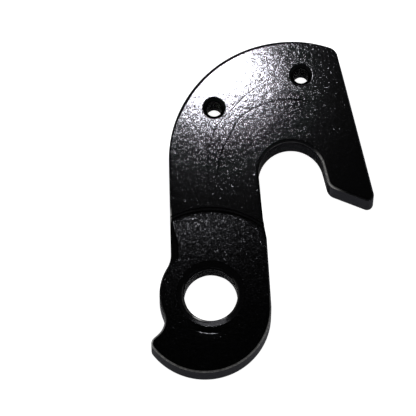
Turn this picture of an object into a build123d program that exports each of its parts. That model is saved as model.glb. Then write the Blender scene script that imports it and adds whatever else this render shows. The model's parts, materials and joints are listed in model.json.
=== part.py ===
from build123d import *
from math import asin, degrees, sqrt
import os

# Bicycle derailleur hanger, milled from one aluminium plate and lying on its frame face, outer face up.
# Millimetres. The origin is on the axis of the derailleur thread, at the frame face.
# +Y runs up to the head that holds the wheel axle, +Z points outwards.

# Plate, and the bevel on all its edges
head_thickness = 6.4
edge_break = 0.3

# Derailleur thread, M10 x 1, bored at its minor diameter, and its wide countersink
thread_radius = 4.5
thread_mouth_width = 1.25
thread_mouth_angle = 118

# Seat of the derailleur, faced lower than the head, with the tool's radius left at the foot of the step
seat_radius = 14.2
step_height = 1.0
step_radius = 0.65
# Share of the step's height that this radius may take at most
step_share = 0.9

# Boss wall round the thread, and the rounded toe that swings out below it
boss_wall = 4.15
toe_wall = 2.5
toe_lean = 0.98
toe_drop = 2.48

# Stop tooth for the derailleur's adjusting screw: its flank points nearly at the thread's axis
stop_angle = 221.5
stop_offset = 0.64
stop_root_radius = 3.3
stop_tip_radius = 1.3
# Shares of the flank that its two rounds may take at most
stop_root_share = 0.72
stop_tip_share = 0.28

# Waist between the boss and the head
waist_angle = 140.8
waist_radius = 4.5

# Slot for the wheel axle, open downwards, with a long wall on the neck and a short one on the tip
axle_aside = 13.58
axle_rise = 20.8
slot_radius = 5.52
mouth_drop = 8.05
mouth_lean = 0.74
tip_drop = 2.36
tip_flare = 0.77

# Jog where the slot's long wall runs out into the neck
jog_width = 0.62
jog_length = 3.0
jog_radius = 6.0

# Tip of the head, on the far side of the slot
tip_width = 8.67
tip_slope_angle = 21.45
tip_inner_radius = 2.0
tip_outer_radius = 1.05

# Two tapped fixing holes, M3 x 0.5, on a circle round the wheel axle, bored at their minor diameter
screw_circle_radius = 17.3
screw_first_angle = 84.4
screw_spread_angle = 54.5
screw_radius = 1.3
screw_mouth_width = 0.58
screw_mouth_angle = 90

# Rounded head, outside these holes
head_margin = 3.38
head_lift = 2.56
head_side_angle = 103.8
head_corner_radius = 2.0


def at_angle(angle, distance):
    return Vector(distance, 0).rotate(Axis.Z, angle)


def touch(point, centre, radius, turn):
    # where a straight edge from the point touches the circle, with turn 1 or -1 for the two sides
    to_centre = centre - point
    swing = degrees(asin(radius / to_centre.length))
    run = sqrt(to_centre.length**2 - radius**2)
    return point + to_centre.normalized().rotate(Axis.Z, turn * swing) * run


def leave(point, angle, centre, radius):
    # where a straight edge from the point, at the angle, passes out of the circle
    run = at_angle(angle, 1)
    along = (centre - point).dot(run)
    aside = (centre - point - run * along).length
    return point + run * (along + sqrt(radius**2 - aside**2))


# Circles of the outline
boss_radius = thread_radius + boss_wall
toe_centre = Vector(-toe_lean, -toe_drop)
toe_radius = boss_radius + toe_wall
axle = Vector(axle_aside, axle_rise)
head_centre = axle + Vector(0, head_lift)
head_radius = screw_circle_radius + head_margin

# Corners and touching points of the outline
slot_mouth = axle + Vector(mouth_lean - slot_radius, -mouth_drop)
neck_corner = slot_mouth + Vector(jog_width, -jog_length)
toe_end = touch(neck_corner, toe_centre, toe_radius, 1)
slot_start = touch(slot_mouth, axle, slot_radius, 1)
tip_inner = axle + Vector(slot_radius + tip_flare, -tip_drop)
tip_outer = tip_inner + at_angle(-tip_slope_angle, tip_width)
slot_end = touch(tip_inner, axle, slot_radius, -1)
head_corner = leave(tip_outer, head_side_angle, head_centre, head_radius)
waist = at_angle(waist_angle, boss_radius)
head_end = touch(waist, head_centre, head_radius, 1)
stop_start = at_angle(stop_angle - 90, stop_offset)
stop_root = leave(stop_start, stop_angle, Vector(), boss_radius)
stop_tip = leave(stop_start, stop_angle, toe_centre, toe_radius)

# Corners of the outline and their rounds
flank = (stop_tip - stop_root).length
corners = [
    (stop_tip, min(stop_tip_radius, stop_tip_share * flank)),
    (stop_root, min(stop_root_radius, stop_root_share * flank)),
    (neck_corner, jog_radius),
    (slot_mouth, jog_radius),
    (tip_inner, tip_inner_radius),
    (tip_outer, tip_outer_radius),
    (head_corner, head_corner_radius),
    (waist, waist_radius),
]

with BuildSketch() as outline:
    with BuildLine():
        ThreePointArc(stop_tip, toe_centre + at_angle(-90, toe_radius), toe_end)
        Polyline(toe_end, neck_corner, slot_mouth, slot_start)
        ThreePointArc(slot_start, axle + at_angle(90, slot_radius), slot_end)
        Polyline(slot_end, tip_inner, tip_outer, head_corner)
        ThreePointArc(head_corner, head_centre + at_angle(135, head_radius), head_end)
        Line(head_end, waist)
        ThreePointArc(waist, at_angle(180, boss_radius), stop_root)
        Line(stop_root, stop_tip)
    make_face()
    for corner, radius in corners:
        fillet(outline.vertices().sort_by_distance(corner)[0], radius)

seat_thickness = head_thickness - step_height
foot_radius = min(step_radius, step_share * step_height)
facing_radius = seat_radius + foot_radius
facing_top = head_thickness + step_height
# Twice the toe's width, so that the facing runs out past it on all sides
runout = 4 * toe_radius


def is_step(edge):
    # the step's two rims are the wide circles about the thread's axis
    aside = Vector(edge.arc_center.X, edge.arc_center.Y).length
    return aside < edge_break and edge.radius > toe_radius + edge_break


with BuildPart() as hanger:
    extrude(outline.sketch, amount=head_thickness)

    # The seat is faced by a round-cornered cutter that turns about the thread and runs out past the toe
    with BuildSketch(Plane.XZ):
        with BuildLine():
            foot_start = (facing_radius, seat_thickness + foot_radius)
            foot_end = (seat_radius, seat_thickness)
            RadiusArc(foot_start, foot_end, foot_radius)
            Polyline(foot_end, (0, seat_thickness), (0, facing_top), (facing_radius, facing_top), foot_start)
        make_face()
    revolve(axis=Axis.Z, mode=Mode.SUBTRACT)
    with BuildSketch(Plane.XY.offset(seat_thickness)):
        Rectangle(runout, runout, align=(Align.CENTER, Align.MAX))
    extrude(amount=facing_top - seat_thickness, mode=Mode.SUBTRACT)

    # All front edges are bevelled, except those of the step between seat and head
    seat_face, head_face = hanger.faces().filter_by(Plane.XY).sort_by(Axis.Z)[1:]
    rims = ShapeList([seat_face, head_face]).edges()
    step_rims = rims.filter_by(GeomType.CIRCLE).filter_by(is_step)
    chamfer(rims - step_rims, edge_break)

    # Tapped holes, countersunk on the outer side
    with Locations((0, 0, seat_thickness)):
        CounterSinkHole(
            thread_radius, thread_radius + thread_mouth_width, counter_sink_angle=thread_mouth_angle
        )
    with Locations((axle.X, axle.Y, head_thickness)):
        with PolarLocations(screw_circle_radius, 2, screw_first_angle, screw_spread_angle, endpoint=True):
            CounterSinkHole(
                screw_radius, screw_radius + screw_mouth_width, counter_sink_angle=screw_mouth_angle
            )

    # Bevel round the frame face and its three holes
    chamfer(hanger.faces().sort_by(Axis.Z)[0].edges(), edge_break)

hanger.part.label = "hanger"
os.makedirs("parts", exist_ok=True)
export_step(hanger.part, "parts/hanger.step")
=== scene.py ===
import json
import math

import bpy
import numpy as np
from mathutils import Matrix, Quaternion, Vector
from mathutils.geometry import delaunay_2d_cdt


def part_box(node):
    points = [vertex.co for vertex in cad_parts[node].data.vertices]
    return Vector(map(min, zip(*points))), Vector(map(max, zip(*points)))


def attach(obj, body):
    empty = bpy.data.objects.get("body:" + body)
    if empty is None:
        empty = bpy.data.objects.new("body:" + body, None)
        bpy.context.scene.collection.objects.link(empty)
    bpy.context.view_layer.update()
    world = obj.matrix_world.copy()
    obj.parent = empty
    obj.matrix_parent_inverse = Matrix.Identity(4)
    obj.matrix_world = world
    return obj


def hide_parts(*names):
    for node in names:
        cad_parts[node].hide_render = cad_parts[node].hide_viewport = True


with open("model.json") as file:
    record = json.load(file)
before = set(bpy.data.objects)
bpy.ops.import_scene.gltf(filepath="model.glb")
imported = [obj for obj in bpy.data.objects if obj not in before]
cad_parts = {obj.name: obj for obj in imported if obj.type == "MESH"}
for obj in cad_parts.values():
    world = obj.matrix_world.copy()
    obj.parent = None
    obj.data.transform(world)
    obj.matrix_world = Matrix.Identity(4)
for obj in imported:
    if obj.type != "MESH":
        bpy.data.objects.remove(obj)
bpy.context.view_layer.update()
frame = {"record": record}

mm = 0.001
scene = bpy.context.scene

# places and heights that the frame gives, in mm
mounts = {mount["name"]: Vector(mount["pos_m"]) / mm for mount in frame["record"]["mounts"]}
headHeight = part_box("hanger")[1].z / mm
seatHeight = mounts["derailleur_seat"].z

# order of the finishes on the body
blasted, faced, milled, bevelled, slotShade = range(5)


def linear(hexColour):  # sRGB hex to linear RGBA
    channels = [int(hexColour[i:i + 2], 16) / 255 for i in (1, 3, 5)]
    return [c / 12.92 if c <= 0.04045 else ((c + 0.055) / 1.055) ** 2.4 for c in channels] + [1.0]


def node(tree, kind, inputs=None, links=None, **settings):
    made = tree.nodes.new(kind)
    for name, value in settings.items():
        setattr(made, name, value)
    for name, value in (inputs or {}).items():
        made.inputs[name].default_value = value
    for name, source in (links or {}).items():
        tree.links.new(source, made.inputs[name])
    return made


def smooth(zero, full, x):  # 0 to 1 between the two limits, which may also run downwards
    t = min(1.0, max(0.0, (x - zero) / (full - zero)))
    return t * t * (3 - 2 * t)


def pointAt(degrees, distance=1.0):
    a = math.radians(degrees)
    return Vector((math.cos(a), math.sin(a))) * distance


hangerBody = {  # mm and degrees
    # circles that the outline runs round: centre, radius, negative where it bends inwards
    "toe": (-0.98, -2.48, 11.15),
    "boss": (0.0, 0.0, 8.65),
    "jogOut": (3.46, 8.95, 6.0),
    "jogIn": (14.74, 13.64, -6.0),
    "axleSlot": (13.58, 20.8, -5.52),
    "tipInner": (21.56, 19.93, 2.0),
    "tipOuter": (26.43, 16.99, 1.05),
    "head": (13.58, 23.36, 20.68),
    # rounds that touch one of them: radius, angle of the touching point
    "headCorner": (2.0, 71.4),
    "waist": (-4.5, 148.7),
    "stopRoot": (-3.3, 202.25),
    "stopTip": (1.3, 218.3),
    # bevel along the edges of both faces, and its rounding as a share of its width
    "edgeBreak": 0.3,
    "edgeRound": 0.4,
    "edgeRows": 4,             # steps of that rounding at each end
    # where it is wider on the front: reach across the face and drop, and where that starts and is full
    "wideBevels": [
        # round the axle slot
        {"size": (0.42, 0.42), "slotGap": (4.0, 1.2)},
        # a shallow facet on the seat's edge above the waist
        {"size": (1.1, 0.4), "x": (-5.0, -6.5), "low": (4.5, 7.0), "high": (12.8, 8.0)},
        # on the round of the head
        {"size": (0.48, 0.48), "x": (16.0, 9.0), "low": (27.0, 34.0)},
    ],
    # step between seat and head, with the hollow that the cutter left at its foot
    "seatRadius": 14.2,
    "stepWall": 14.85,
    "stepDraft": 0.015,        # the wall is just off the vertical
    "stepHollow": 0.45,
    "hollowRows": 7,
    "stepDish": (0.55, 0.03),  # reach and rise of the seat towards the hollow
    "dishRows": 4,
    "stepEdge": 0.05,
    "stepRound": [(0.0, 1.0), (0.3, 0.3), (1.0, 0.0)],  # rows of that edge: shares of it aside and down
    "stepMargin": 0.03,        # line behind the edge that keeps the head flat
    "stepColumns": 64,
    # dent that a bolt's shoulder pressed into the seat: radius and depth, and where it lies round the thread
    "shoulderDent": [(7.02, 0.0), (6.95, 0.006), (6.87, 0.03), (6.80, 0.04), (6.55, 0.02), (6.2, 0.0)],
    "dentTurn": -96,
    "dentSpread": 24,
    "dentFade": (1.0, 0.3),    # shares of the spread where it is gone and where it is full
    "dentReach": 1.5,          # half the length of its rows, in spreads
    "dentColumns": 61,
    # painted glints: places on the bevel drawn in bare metal's light colour where highlights show: middle,
    # reach, and share of that colour across the bevel, from the face to the wall, above 1 where its spots
    # run together
    "rubbedGlints": [
        {"at": (19.2, 20.8), "reach": 4.8, "across": [0, 0, 0, 0, 0.5, 2.8, 2.4, 0.2, 0, 0]},
        {"at": (17.0, 22.0), "reach": 12.0, "across": [0, 0, 0, 0, 0, 0, 0.08, 0.12, 0.08, 0]},
        {"at": (2.0, -13.0), "reach": 17.0, "across": [0, 0, 0.1, 0.4, 0.65, 0.65, 0.3, 0, 0, 0]},
        {"at": (-8.5, -11.0), "reach": 5.0, "across": [0, 0, 0.1, 0.5, 0.9, 0.9, 0.3, 0, 0, 0]},
        {"at": (-6.6, 13.4), "reach": 1.2, "across": [0, 0.5, 0.9, 0.9, 0.9, 0.9, 0.9, 0.9, 0.5, 0]},
    ],
    "glintFade": (1.0, 0.4),  # shares of the reach
    # edges of the cutter's passes on the head, as fine grooves through a few points
    "cutterPasses": [
        {"depth": 0.07, "points": [
            (17.4, 33.1), (15.4, 33.6), (12.0, 33.7), (8.6, 32.7), (5.1, 30.6), (3.0, 26.9),
            (1.7, 24.1), (1.2, 21.3), (1.0, 18.5)]},
        {"depth": 0.02, "points": [
            (10.0, 37.1), (8.3, 36.2), (5.8, 34.3), (3.7, 32.0), (1.5, 29.6), (0.1, 26.9),
            (-0.4, 24.1), (-0.4, 20.0), (-0.1, 15.9)]},
    ],
    # one side of a groove's section: offset, share of the depth
    "grooveSection": [(0.2, 0), (0.13, 0), (0.1, 0.12), (0.03, 0.9)],
    "grooveStep": 0.25,        # spacing of the points along it
    "grooveEnds": (1 / 8, 1 / 5),  # shares of its length over which it runs out
    "slotWall": 1.25,          # the wall with painted shade ends at this share of the slot's radius
    # mesh
    "chord": 0.0015,           # flatness of the arcs
    "arcTurn": 6,              # most that an edge of an arc turns
    "arcEdges": 3,             # fewest edges of an arc
    "runLength": 0.8,          # longest edge on a straight run
    "shortRun": 0.02,          # a run below this is left out
    "stepClear": 0.1,          # the runs have no other points this near to the step
    "support": 0.06,           # line beside each bevel that keeps the faces flat
    "faceGrid": 1.3,           # spacing of the points inside the faces
    "gridRow": 0.866,          # spacing of their rows, as a share of it
    "gridClear": 0.6,          # least distance from other points, as a share of it
}


def touching(around, rounding):  # circle of a round that touches another circle
    x, y, r = around
    radius, angle = rounding
    at = Vector((x, y)) + pointAt(angle, r - radius)
    return (at.x, at.y, radius)


def outlineCircles():  # anticlockwise
    b = hangerBody
    return [
        b["toe"], b["jogOut"], b["jogIn"], b["axleSlot"], b["tipInner"], b["tipOuter"],
        touching(b["head"], b["headCorner"]), b["head"],
        touching(b["boss"], b["waist"]), b["boss"],
        touching(b["boss"], b["stopRoot"]), touching(b["toe"], b["stopTip"]),
    ]


def stepSection():  # radius from the thread, height: from the seat up to the head
    b = hangerBody
    hollow, edge = b["stepHollow"], b["stepEdge"]
    reach, rise = b["stepDish"]
    foot = b["stepWall"] - hollow
    section = []
    for i in range(b["dishRows"]):
        t = i / b["dishRows"]
        section.append((foot - reach * (1 - t), seatHeight + rise * t * t))
    for i in range(b["hollowRows"] + 1):
        a = math.radians(90 * i / b["hollowRows"])
        section.append((foot + hollow * math.sin(a), seatHeight + rise + hollow * (1 - math.cos(a))))
    wall = b["stepWall"] + b["stepDraft"]
    section += [(wall + aside * edge, headHeight - down * edge) for aside, down in b["stepRound"]]
    section.append((wall + edge + b["stepMargin"], headHeight))
    return section


stepRows = stepSection()
seatEnd = stepRows[hangerBody["dishRows"] + 1][0]  # the seat's finish runs on into the hollow
stepEnd = stepRows[-2][0]


def faceHeight(p):
    return seatHeight if p.length < hangerBody["seatRadius"] else headHeight


def faceFinish(p):
    if p.length < seatEnd:
        return faced
    return milled if p.length < stepEnd else blasted


def crossing(start, along, radius, length):  # where a straight run meets a circle about the thread
    slack = 1.0  # the bevel may shift that place past the run's ends
    b = start.dot(along)
    root = math.sqrt(b * b - start.dot(start) + radius * radius)
    return next(t for t in (-b + root, -b - root) if -slack < t < length + slack)


def outlineSamples():  # for each point: function from inset to place, height of the face there
    b = hangerBody
    circles = outlineCircles()
    samples = []

    def plain(p, out):
        samples.append((lambda inset: p - out * inset, faceHeight(p)))

    # straight runs that touch each circle and the next one
    outs, runs = [], []
    for (x1, y1, r1), (x2, y2, r2) in zip(circles, circles[1:] + circles[:1]):
        gap = Vector((x2 - x1, y2 - y1))
        lean = math.acos(max(-1.0, min(1.0, (r2 - r1) / gap.length)))
        out = -pointAt(math.degrees(math.atan2(gap.y, gap.x) + lean))
        outs.append(out)
        runs.append((Vector((x1, y1)) + out * r1, Vector((x2, y2)) + out * r2))

    for i, (x, y, r) in enumerate(circles):
        first, last = (math.degrees(math.atan2(o.y, o.x)) for o in (outs[i - 1], outs[i]))
        sweep = (last - first) % 360 if r > 0 else -((first - last) % 360)
        flat = math.degrees(2 * math.acos(1 - b["chord"] / abs(r)))
        count = max(b["arcEdges"], math.ceil(abs(sweep) / min(flat, b["arcTurn"])))
        for k in range(count + 1):
            out = pointAt(first + sweep * k / count)
            plain(Vector((x, y)) + out * r, out)
        start, end = runs[i]
        length = (end - start).length
        if length < b["shortRun"]:
            samples.pop()  # the next circle starts here
            continue
        along, out = (end - start) / length, outs[i]
        count = math.ceil(length / b["runLength"])
        marks = [(length * k / count, None, None) for k in range(1, count)]
        low, high = stepRows[0][0], stepRows[-1][0]
        radii = [p.length for p in (start, end)]
        if min(radii) < low and max(radii) > high:  # the run climbs the step
            low, high = low - b["stepClear"], high + b["stepClear"]
            marks = [m for m in marks if not low < (start + along * m[0]).length < high]
            marks += [(crossing(start, along, radius, length), radius, z) for radius, z in stepRows]
        for t, radius, z in sorted(marks, key=lambda m: m[0]):
            if radius is None:
                plain(start + along * t, out)
                continue

            def climb(inset, start=start, along=along, out=out, radius=radius, length=length):
                edge = start - out * inset
                return edge + along * crossing(edge, along, radius, length)
            samples.append((climb, z))
    return samples


def bevelSize(p):  # reach and drop of the front bevel at a point of the outline
    b = hangerBody
    x, y, r = b["axleSlot"]
    places = {"slotGap": (p - Vector((x, y))).length + r, "x": p.x, "low": p.y, "high": p.y}
    reach = drop = b["edgeBreak"]
    for wide in b["wideBevels"]:
        share = math.prod(smooth(*wide[name], place) for name, place in places.items() if name in wide)
        reach += share * (wide["size"][0] - b["edgeBreak"])
        drop += share * (wide["size"][1] - b["edgeBreak"])
    return reach, drop


def bevelSection():  # inset and drop as shares of the size: flat at 45 degrees, rounded at both ends
    rounding, rows, slope = hangerBody["edgeRound"], hangerBody["edgeRows"], 45
    reach = rounding * math.tan(math.radians(slope / 2))
    turns = [math.radians(slope * i / rows) for i in range(rows + 1)]
    upper = [(1 + reach - rounding * math.sin(a), rounding * (1 - math.cos(a))) for a in turns]
    return upper + [(drop, inset) for inset, drop in reversed(upper)]


def rubbedGlintShares(p):  # share of the painted glints' bare-metal colour across the bevel at a point of the outline
    b = hangerBody
    fades = [smooth(*b["glintFade"], (p - Vector(r["at"])).length / r["reach"]) for r in b["rubbedGlints"]]
    rows = zip(*(r["across"] for r in b["rubbedGlints"]))
    return [max(fade * share for fade, share in zip(fades, row)) for row in rows]


class MeshParts:  # vertices and faces gathered in mm
    def __init__(self):
        self.points = []
        self.faces = []
        self.finish = []
        self.bareGlint = {}  # share of bare-metal colour by vertex, for the painted glints

    def ring(self, points):
        first = len(self.points)
        self.points += [tuple(p) for p in points]
        return list(range(first, first + len(points)))

    def band(self, outer, inner, finish=None):  # quads between two closed rings of the same count
        count = len(outer)
        for i in range(count):
            j = (i + 1) % count
            self.faces.append((outer[i], outer[j], inner[j], inner[i]))
        self.finish += finish or [bevelled] * count


def edgeRings(parts, samples):  # from the front face over the bevels and the wall to the back face
    b = hangerBody
    bevels = [bevelSize(at(0)) for at, _ in samples]
    section = bevelSection()
    widest, support, backBreak = section[0][0], b["support"], b["edgeBreak"]

    def upper(inset, drop, beside=0.0, below=0.0):
        return parts.ring([
            (*at(inset * reach + beside), z - drop * deep - below)
            for (at, z), (reach, deep) in zip(samples, bevels)])

    def lower(inset, z):
        return parts.ring([(*at(inset), z) for at, _ in samples])

    rings = [upper(widest, 0, beside=support)]
    # painted glints: share of bare-metal colour for each row of the bevel
    rubbedGlints = zip(*(rubbedGlintShares(at(0)) for at, _ in samples))
    for (inset, drop), shares in zip(section, rubbedGlints):
        rings.append(upper(inset, drop))
        parts.bareGlint.update(zip(rings[-1], shares))
    wallTop = len(rings)
    rings += [upper(0, widest, below=support), lower(0, backBreak * widest + support)]
    rings += [lower(backBreak * inset, backBreak * rise) for inset, rise in reversed(section)]
    rings.append(lower(backBreak * widest + support, 0))

    # walls round the axle slot get the painted shade
    x, y, r = b["axleSlot"]
    slotReach = b["slotWall"] * abs(r)
    wall = [slotShade if (at(0) - Vector((x, y))).length < slotReach else milled for at, _ in samples]
    for i, (above, below) in enumerate(zip(rings, rings[1:])):
        parts.band(below, above, wall if i == wallTop else None)
    return rings


derailleurThread = {  # M10 x 1, mm and degrees
    "places": ["derailleur_thread"], "minor": 4.5, "major": 5.0, "pitch": 1.0,
    "top": seatHeight, "mouth": 5.66, "mouthAngle": 118, "mouthRound": 0.12, "back": 4.7, "start": 0.8,
    "columns": 144, "rowsPerPitch": 14,
    # painted glint at the foot of the countersink, bare metal's light colour where the lit crescent shows:
    # middle, spread, share of bare metal
    "rubbedRimGlints": [(205, 55, 0.4), (345, 60, 0.35)],
}
screwThread = {  # M3 x 0.5
    "places": ["top_screw", "side_screw"], "minor": 1.3, "major": 1.5, "pitch": 0.5,
    "top": headHeight, "mouth": 1.88, "mouthAngle": 90, "mouthRound": 0.3, "back": 1.6, "start": 0.0,
    "columns": 64, "rowsPerPitch": 12,
    "rubbedRimGlints": [],
}
tapping = {  # what all the threads share
    "crestFlat": 1 / 4,        # flats between the flanks, as shares of the pitch
    "rootFlat": 1 / 8,
    "roundRows": 4,            # of the mouth's rounding
    "topGap": 0.02,            # between that rounding and the first row of the thread
    "backGap": 0.012,          # between its last row and the back face
    "backRims": (0.03, 0.12),  # lines round the back rim that keep the face flat
    "rimReach": 0.22,          # height of the painted rim glint, above and below the countersink's foot
    "rimFade": (1.0, 0.3),     # shares of that height where it is gone and where it is full
    "spreadFade": (1.0, 0.6),  # and of its spread
}


def circle(at, radius, count, z):
    return [(*(Vector(at[:2]) + pointAt(360 * i / count, radius)), z) for i in range(count)]


def threadRadius(hole, angle, z):
    turn = (z / hole["pitch"] - angle / (2 * math.pi) - hole["start"]) % 1.0
    sides = 1 - tapping["crestFlat"]
    flank = min(1.0, max(0.0, (sides - abs(2 * turn - 1)) / (sides - tapping["rootFlat"])))
    return hole["minor"] + (hole["major"] - hole["minor"]) * flank


def rimGlintShares(hole, z):  # share of bare-metal colour for the columns at a height: the painted rim glint
    deep = (hole["mouth"] - hole["minor"]) * math.tan(math.radians(90 - hole["mouthAngle"] / 2))
    level = smooth(*tapping["rimFade"], abs(hole["top"] - deep - z) / tapping["rimReach"])
    shares = [0.0] * hole["columns"]
    for middle, spread, bareGlint in hole["rubbedRimGlints"]:
        for i in range(len(shares)):
            away = abs((360 * i / len(shares) - middle + 180) % 360 - 180)
            shares[i] += bareGlint * level * smooth(*tapping["spreadFade"], away / spread)
    return shares


def tappedHole(parts, hole, at):  # returns the rims in the front and back faces
    count, top, mouth, rounding = hole["columns"], hole["top"], hole["mouth"], hole["mouthRound"]
    tilt = 90 - hole["mouthAngle"] / 2
    reach = rounding * math.tan(math.radians(tilt / 2))
    front = parts.ring(circle(at, mouth + reach + hangerBody["support"], count, top))
    previous = front
    for i in range(tapping["roundRows"] + 1):
        a = math.radians(tilt * i / tapping["roundRows"])
        drop = rounding * (1 - math.cos(a))
        current = parts.ring(circle(at, mouth + reach - rounding * math.sin(a), count, top - drop))
        parts.band(current, previous)
        previous = current

    # the thread, cut back by the countersink and by the bevel of the back rim
    widening = 1 / math.tan(math.radians(tilt))
    first, last = top - drop - tapping["topGap"], tapping["backGap"]
    rows = math.ceil(top / hole["pitch"] * hole["rowsPerPitch"])
    for k in range(rows + 1):
        z = first - (first - last) * k / rows
        ringPoints = []
        for i in range(count):
            a = 2 * math.pi * i / count
            r = max(threadRadius(hole, a, z), mouth - (top - z) * widening, hole["back"] - z)
            ringPoints.append((at[0] + r * math.cos(a), at[1] + r * math.sin(a), z))
        current = parts.ring(ringPoints)
        # painted rim glint near the countersink's foot
        if hole["rubbedRimGlints"]:
            parts.bareGlint.update(zip(current, rimGlintShares(hole, z)))
        parts.band(current, previous)
        previous = current
    for margin in tapping["backRims"]:
        back = parts.ring(circle(at, hole["back"] + margin, count, 0))
        parts.band(back, previous)
        previous = back
    return front, back


def stepLines(parts, border):  # one arc for each row of the step's section, from edge to edge of the neck
    nearness = 1e-4
    count = hangerBody["stepColumns"]
    lines = []
    for radius, z in stepRows:
        ends = []
        for i in border:
            x, y, _ = parts.points[i]
            if abs(math.hypot(x, y) - radius) < nearness:
                ends.append((math.atan2(y, x), i))
        (a0, first), (a1, last) = sorted(ends)
        turns = [a0 + (a1 - a0) * k / count for k in range(1, count)]
        arc = parts.ring([(radius * math.cos(a), radius * math.sin(a), z) for a in turns])
        lines.append([first] + arc + [last])
    return lines


def dentLines(parts):
    b = hangerBody
    lines = []
    for radius, depth in b["shoulderDent"]:
        track = []
        for turn in np.linspace(-b["dentReach"], b["dentReach"], b["dentColumns"]):
            spot = pointAt(b["dentTurn"] + turn * b["dentSpread"], radius)
            track.append((*spot, seatHeight - depth * smooth(*b["dentFade"], abs(turn))))
        lines.append(parts.ring(track))
    return lines


def smoothPath(through, step):  # points on a smooth curve, each with its normal
    knots = [Vector(p) for p in through]
    knots = [2 * knots[0] - knots[1]] + knots + [2 * knots[-1] - knots[-2]]
    path = []
    for p0, p1, p2, p3 in zip(knots, knots[1:], knots[2:], knots[3:]):
        c1, c2, c3 = p2 - p0, 2 * p0 - 5 * p1 + 4 * p2 - p3, 3 * p1 - p0 - 3 * p2 + p3
        count = max(2, round((p2 - p1).length / step))
        for t in (k / count for k in range(count)):
            at = p1 + 0.5 * (c1 * t + c2 * t * t + c3 * t ** 3)
            along = c1 + 2 * c2 * t + 3 * c3 * t * t
            path.append((at, Vector((along.y, -along.x)).normalized()))
    return path


def grooveLines(parts):
    b = hangerBody
    side = b["grooveSection"]
    section = [(-offset, share) for offset, share in side] + side[::-1]
    runIn, runOut = b["grooveEnds"]
    lines = []
    for groove in b["cutterPasses"]:
        path = smoothPath(groove["points"], b["grooveStep"])
        count = len(path)
        for offset, share in section:
            track = []
            for k, (p, out) in enumerate(path):
                fade = min(1, k / count / runIn, (count - 1 - k) / count / runOut)
                track.append((*(p + out * offset), headHeight - share * fade * groove["depth"]))
            lines.append(parts.ring(track))
    return lines


def fillFace(parts, border, holes, lines, height, finishOf, up):
    # triangles between the border, the holes and the inner lines, with a loose grid of points
    points, edges, known = [], [], []

    def add(indices, closed):
        first = len(points)
        for i in indices:
            points.append(Vector(parts.points[i][:2]))
            known.append(i)
        count = len(indices)
        edges.extend((first + i, first + (i + 1) % count) for i in range(count if closed else count - 1))

    add(border, True)
    for rim, _, _ in holes:
        add(rim, True)
    for line in lines:
        add(line, False)
    taken = np.array([p[:] for p in points])
    grid = hangerBody["faceGrid"]
    rowGap, clear = grid * hangerBody["gridRow"], grid * hangerBody["gridClear"]
    low, high = taken.min(0), taken.max(0)
    for row, y in enumerate(np.arange(low[1], high[1], rowGap)):
        for x in np.arange(low[0] + grid / 2 * (row % 2), high[0], grid):
            if np.hypot(*(taken - (x, y)).T).min() > clear:
                points.append(Vector((x, y)))
                known.append(None)
    withinBorder, nearness = 1, 1e-5
    found, _, triangles, origin, _, _ = delaunay_2d_cdt(points, edges, [], withinBorder, nearness)
    index = []
    for p, sources in zip(found, origin):
        used = [known[s] for s in sources if known[s] is not None]
        index.append(used[0] if used else parts.ring([(p.x, p.y, height(p))])[0])
    for t in triangles:
        a, b, c = (found[i] for i in t)
        middle = (a + b + c) / 3
        if any((middle - at).length < radius for _, at, radius in holes):
            continue
        face = tuple(index[i] for i in t)
        parts.faces.append(face if ((b - a).cross(c - a) > 0) == up else face[::-1])
        parts.finish.append(finishOf(middle))


def bodyMesh(parts):
    mesh = bpy.data.meshes.new("hangerBody")
    mesh.from_pydata([Vector(p) * mm for p in parts.points], [], parts.faces)
    mesh.polygons.foreach_set("material_index", parts.finish)
    mesh.polygons.foreach_set("use_smooth", [True] * len(parts.faces))
    # share of bare-metal colour that paints the glints
    bareGlint = mesh.attributes.new("bareGlint", "FLOAT", "POINT")
    bareGlint.data.foreach_set("value", [parts.bareGlint.get(i, 0.0) for i in range(len(parts.points))])
    mesh.update()
    print("mesh:", len(mesh.vertices), "vertices,", sum(len(f) - 2 for f in parts.faces), "triangles")
    return mesh


def buildHanger():
    parts = MeshParts()
    samples = outlineSamples()
    rings = edgeRings(parts, samples)
    print("outline:", len(samples), "points,", len(rings), "rings")

    fronts, backs = [], []
    for hole in (derailleurThread, screwThread):
        for name in hole["places"]:
            at = mounts[name].xy
            front, back = tappedHole(parts, hole, at)
            fronts.append((front, at, hole["mouth"]))
            backs.append((back, at, hole["back"]))
    print("tapped holes:", len(fronts))

    lines = stepLines(parts, rings[0]) + dentLines(parts) + grooveLines(parts)
    print("step, dent and cutter marks:", len(lines), "lines")
    fillFace(parts, rings[0], fronts, lines, faceHeight, faceFinish, True)
    fillFace(parts, rings[-1], backs, [], lambda p: 0.0, lambda p: blasted, False)
    return bodyMesh(parts)


# black anodised aluminium, bead-blasted first: a dark metal mirror broken into dents of about 0.05 mm,
# so that a highlight has a smooth core and sparkles round it
blastedFinish = {
    "darkest": "#141415",      # the dye differs from dent to dent
    "lightest": "#3a3a3d",
    "edgeTint": "#ffffff",     # of glancing light
    "roughness": 0.106,
    "dent": 0.045,             # mm
    "lean": 0.034,             # usual slope of the dents
    "tail": 0.75,              # how far the steepest go beyond it
    "slant": (0.0, 0.0),       # slope that all of them share
    "veil": 0.015,             # weight of the layer's matt top
}
# the same on the faced seat, where the cutter left a slant: rougher, with steeper dents, sparkling all over;
# from here on the dents are drawn coarser than real ones, to show
facedFinish = {
    "darkest": "#0d0d0e",
    "lightest": "#262628",
    "edgeTint": "#ffffff",
    "roughness": 0.15,
    "dent": 0.07,
    "lean": 0.056,
    "tail": 0.5,
    "slant": (0.035, 0.05),
    "veil": 0.0,
}
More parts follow.
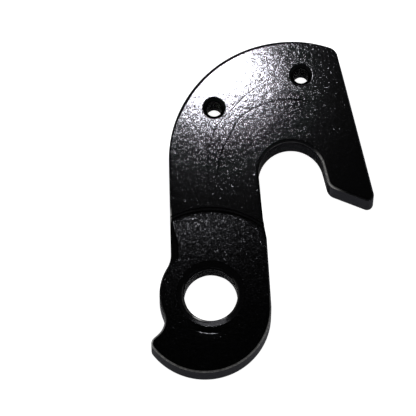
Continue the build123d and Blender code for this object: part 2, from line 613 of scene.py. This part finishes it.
# the same on the milled walls, where the cutter left them rough: a dull even grey at any angle
milledFinish = {
    "darkest": "#1c1c1d",
    "lightest": "#363638",
    "edgeTint": "#a6a6a8",
    "roughness": 0.5,
    "dent": 0.09,
    "lean": 0.085,
    "tail": 0.5,
    "slant": (0.0, 0.0),
    "veil": 0.0,
}
# the same on the axle slot's walls, with a dim glancing tint: painted shade for the slot, nearly black
slotShadeFinish = dict(milledFinish, edgeTint="#606062")
# the same on bevels and holes, rubbed smooth by handling: thin dark lines along the edges
bevelledFinish = {
    "darkest": "#131314",
    "lightest": "#28282a",
    "edgeTint": "#9a9a9c",
    "roughness": 0.15,
    "dent": 0.09,
    "lean": 0.042,
    "tail": 0.5,
    "slant": (0.0, 0.0),
    "veil": 0.0,
}
# what all of them share: slow swells of the surface, and how matt the layer's top is
blackLayer = {"patch": 0.9, "patchTilt": 0.02, "veilRoughness": 0.45}
# painted glints: aluminium's light colour on bevels and rims where highlights show, in uneven spots
bareGlintMetal = {"colour": "#c9c8c6", "patch": 0.5}


def anodised(name, finish):
    material = bpy.data.materials.new(name)
    material.use_nodes = True
    tree = material.node_tree
    tree.nodes.clear()
    place = node(tree, "ShaderNodeTexCoord").outputs["Object"]
    patch = blackLayer["patch"] * mm
    patches = node(tree, "ShaderNodeTexNoise", {"Scale": 1 / patch, "Detail": 1.0}, {"Vector": place})
    swell = node(tree, "ShaderNodeBump", {"Strength": 1.0, "Distance": patch * blackLayer["patchTilt"]},
                 {"Height": patches.outputs["Fac"]})
    # each dent leans to its own side, most of them little and a few much: lean * (-ln draw) ** tail
    dents = node(tree, "ShaderNodeTexVoronoi", {"Scale": 1 / (finish["dent"] * mm)}, {"Vector": place})
    draw = node(tree, "ShaderNodeSeparateXYZ", links={"Vector": dents.outputs["Color"]})
    turn = node(tree, "ShaderNodeMath", {1: 2 * math.pi}, {0: draw.outputs["X"]}, operation="MULTIPLY")
    aside = node(tree, "ShaderNodeVectorRotate", {"Vector": (1, 0, 0)}, {"Angle": turn.outputs["Value"]},
                 rotation_type="Z_AXIS")
    fall = node(tree, "ShaderNodeMath", {1: 1 / math.e}, {0: draw.outputs["Z"]}, operation="LOGARITHM")
    reach = node(tree, "ShaderNodeMath", {1: finish["tail"]}, {0: fall.outputs["Value"]}, operation="POWER")
    slope = node(tree, "ShaderNodeMath", {1: finish["lean"]}, {0: reach.outputs["Value"]},
                 operation="MULTIPLY")
    turned = node(tree, "ShaderNodeVectorMath", {2: (*finish["slant"], 0.0)},
                  {0: aside.outputs["Vector"], 1: slope.outputs["Value"]}, operation="MULTIPLY_ADD")
    facing = node(tree, "ShaderNodeVectorMath",
                  links={0: turned.outputs["Vector"], 1: swell.outputs["Normal"]}, operation="ADD")
    normal = node(tree, "ShaderNodeVectorMath", links={0: facing.outputs["Vector"]}, operation="NORMALIZE")
    # painted glints: bare metal's light colour shows in spots where the vertices carry a share of it
    rubbedGlints = node(tree, "ShaderNodeAttribute", attribute_name="bareGlint").outputs["Fac"]
    spots = node(tree, "ShaderNodeTexNoise", {"Scale": 1 / (bareGlintMetal["patch"] * mm), "Detail": 2.0},
                 {"Vector": place})
    share = node(tree, "ShaderNodeMath", links={0: rubbedGlints, 1: spots.outputs["Fac"]}, operation="MULTIPLY")
    dye = node(tree, "ShaderNodeTexWhiteNoise", links={"Vector": dents.outputs["Color"]})
    black = node(tree, "ShaderNodeMix", {"A": linear(finish["darkest"]), "B": linear(finish["lightest"])},
                 {"Factor": dye.outputs["Value"]}, data_type="RGBA")
    colour = node(tree, "ShaderNodeMix", {"B": linear(bareGlintMetal["colour"])},
                  {"Factor": share.outputs["Value"], "A": black.outputs["Result"]}, data_type="RGBA")
    skin = node(tree, "ShaderNodeBsdfPrincipled", {
        "Metallic": 1.0, "Roughness": finish["roughness"], "Specular Tint": linear(finish["edgeTint"]),
        "Coat Weight": finish["veil"], "Coat Roughness": blackLayer["veilRoughness"]},
        {"Base Color": colour.outputs["Result"], "Normal": normal.outputs["Vector"]})
    node(tree, "ShaderNodeOutputMaterial", links={"Surface": skin.outputs["BSDF"]})
    return material


body = bpy.data.objects.new("hangerBody", buildHanger())
scene.collection.objects.link(body)
finishes = {
    blasted: ("blackAnodisedBlasted", blastedFinish),
    faced: ("blackAnodisedFaced", facedFinish),
    milled: ("blackAnodisedMilled", milledFinish),
    bevelled: ("blackAnodisedBevelled", bevelledFinish),
    # painted shade for the axle slot
    slotShade: ("blackAnodisedDulled", slotShadeFinish),
}
for order in sorted(finishes):
    body.data.materials.append(anodised(*finishes[order]))
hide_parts("hanger")
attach(body, "root")
print("hanger body built")

# studio: white lit floor, a small key lamp close above, a soft box low behind; lengths in mm
studio = {
    "floorSize": 6000.0,
    "floorDrop": 0.05,        # below the back face
    "floorColour": "#bcbcbc",
    "floorRoughness": 0.9,
    "floorGlow": 1.0,
    # sky by height: sine of the elevation, grey
    "sky": [(0.0, "#aaaaaa"), (0.45, "#595959"), (0.85, "#595959"), (0.93, "#272727")],
    "elevation": 74.5,
    "key": {
        "spot": (1.6, 39.8, headHeight), "distance": 70.0,  # its mirror image lies on this spot
        "width": 12.6, "height": 7.8, "turn": 22, "watts": 0.053},
    "soft": {"at": (0.0, 600.0, 130.0), "width": 500.0, "height": 150.0, "watts": 1.1},
    "camera": {"target": (-0.48, 15.58, 3.0), "distance": 1000.0, "field": 70.27, "sensor": 36},
}

floorMesh = bpy.data.meshes.new("floor")
half = studio["floorSize"] * mm / 2
corners = [(-half, -half), (half, -half), (half, half), (-half, half)]
floorMesh.from_pydata([(x, y, -studio["floorDrop"] * mm) for x, y in corners], [], [(0, 1, 2, 3)])
floor = bpy.data.objects.new("floor", floorMesh)
scene.collection.objects.link(floor)
paper = bpy.data.materials.new("whitePaper")  # matt and overexposed, so no shadow shows on it
paper.use_nodes = True
paper.node_tree.nodes.clear()
sheet = node(paper.node_tree, "ShaderNodeBsdfPrincipled", {
    "Base Color": linear(studio["floorColour"]), "Roughness": studio["floorRoughness"],
    "Emission Color": linear("#ffffff"), "Emission Strength": studio["floorGlow"]})
node(paper.node_tree, "ShaderNodeOutputMaterial", links={"Surface": sheet.outputs["BSDF"]})
floorMesh.materials.append(paper)

world = bpy.data.worlds.new("studio")
scene.world = world
world.use_nodes = True
world.node_tree.nodes.clear()
direction = node(world.node_tree, "ShaderNodeTexCoord")
axes = node(world.node_tree, "ShaderNodeSeparateXYZ", links={"Vector": direction.outputs["Generated"]})
fade = node(world.node_tree, "ShaderNodeValToRGB", links={"Fac": axes.outputs["Z"]})
stops = fade.color_ramp.elements
for height, _ in studio["sky"][1:-1]:
    stops.new(height)
for stop, (height, grey) in zip(stops, studio["sky"]):
    stop.position = height
    stop.color = linear(grey)
sky = node(world.node_tree, "ShaderNodeBackground", links={"Color": fade.outputs["Color"]})
node(world.node_tree, "ShaderNodeOutputWorld", links={"Surface": sky.outputs["Background"]})

rise = math.radians(studio["elevation"])
toCamera = Vector((0, -math.cos(rise), math.sin(rise)))
mirrored = Vector((0, math.cos(rise), math.sin(rise)))


def areaLamp(name, at, aim, box, turn=0):
    lamp = bpy.data.lights.new(name, "AREA")
    lamp.shape = "RECTANGLE"
    lamp.size = box["width"] * mm
    lamp.size_y = box["height"] * mm
    lamp.energy = box["watts"]
    made = bpy.data.objects.new(name, lamp)
    made.location = at * mm
    turned = Quaternion((0, 0, 1), math.radians(turn))
    made.rotation_euler = ((at - aim).to_track_quat("Z", "Y") @ turned).to_euler()
    made.visible_camera = False
    scene.collection.objects.link(made)


key, soft = studio["key"], studio["soft"]
spot = Vector(key["spot"])
areaLamp("keyLamp", spot + mirrored * key["distance"], spot, key, key["turn"])
areaLamp("backSoftbox", Vector(soft["at"]), Vector(), soft)

shot = studio["camera"]
lens = bpy.data.cameras.new("camera")
lens.sensor_width = shot["sensor"]
lens.lens = lens.sensor_width * shot["distance"] / shot["field"]
camera = bpy.data.objects.new("camera", lens)
camera.location = (Vector(shot["target"]) + toCamera * shot["distance"]) * mm
camera.rotation_euler = toCamera.to_track_quat("Z", "Y").to_euler()
scene.collection.objects.link(camera)
scene.camera = camera
scene.view_settings.view_transform = "Standard"
print("studio ready")
